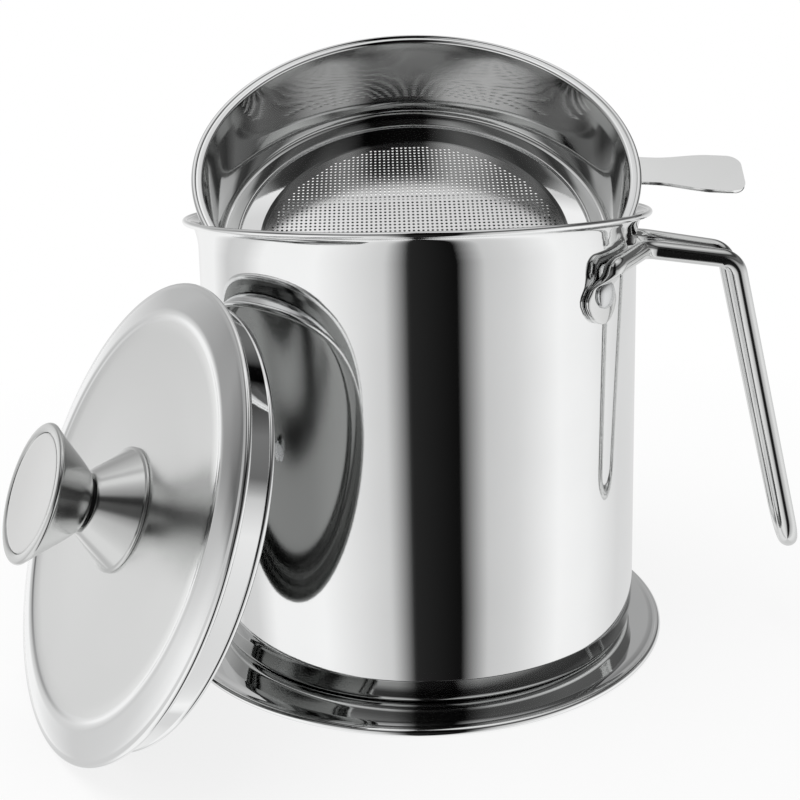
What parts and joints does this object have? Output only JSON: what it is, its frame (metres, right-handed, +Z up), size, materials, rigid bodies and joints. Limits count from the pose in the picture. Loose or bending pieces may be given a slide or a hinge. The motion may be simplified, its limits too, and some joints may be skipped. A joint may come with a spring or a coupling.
{
  "type": "bacon grease container",
  "caption": "Polished steel grease pot with a bent rod handle on a round tray, a tab-handled mesh strainer tipped up in its mouth and a knobbed lid leaning beside it.",
  "frame": {"origin": "on the pot's axis, in the plane of the surface that the tray and the lid stand on", "axes": "+Z up along the pot's axis, +X from the pot's axis out through the rod handle"},
  "size_m": [0.2383, 0.2117, 0.1951],
  "materials": {
    "polished_steel": "mirror polished stainless steel",
    "knob_steel": "polished stainless steel, slightly softer",
    "satin_steel": "satin stainless steel",
    "mesh_steel": "fine etched stainless mesh",
    "dark_ring": "black"
  },
  "bodies": {
    "tray": {"tray": "polished_steel"},
    "pot": {"pot_body": "polished_steel", "handle_rod": "polished_steel", "rivet_front": "satin_steel", "rivet_rear": "satin_steel"},
    "strainer": {"strainer_ring": "polished_steel", "mesh_frame": "polished_steel", "mesh_ring": "polished_steel", "strainer_mesh": "mesh_steel", "strainer_tab": "polished_steel"},
    "lid": {"lid_shell": "polished_steel", "lid_skirt": "polished_steel", "knob_foot_cone": "knob_steel", "knob_groove_ring": "dark_ring", "knob_top_cone": "knob_steel", "knob_face": "knob_steel", "knob_screw": "satin_steel"}
  },
  "joints": [
    {"name": "pot_lift", "type": "slide", "parent": "tray", "child": "pot", "axis": [0, 0, 1], "range_m": [0, 0.16]},
    {"name": "strainer_lift", "type": "slide", "parent": "pot", "child": "strainer", "axis": [0, 0, 1], "range_m": [0, 0.09]},
    {"name": "lid_away", "type": "slide", "parent": "tray", "child": "lid", "axis": [-0.6553, -0.6484, 0.3875], "range_m": [0, 0.1]}
  ]
}
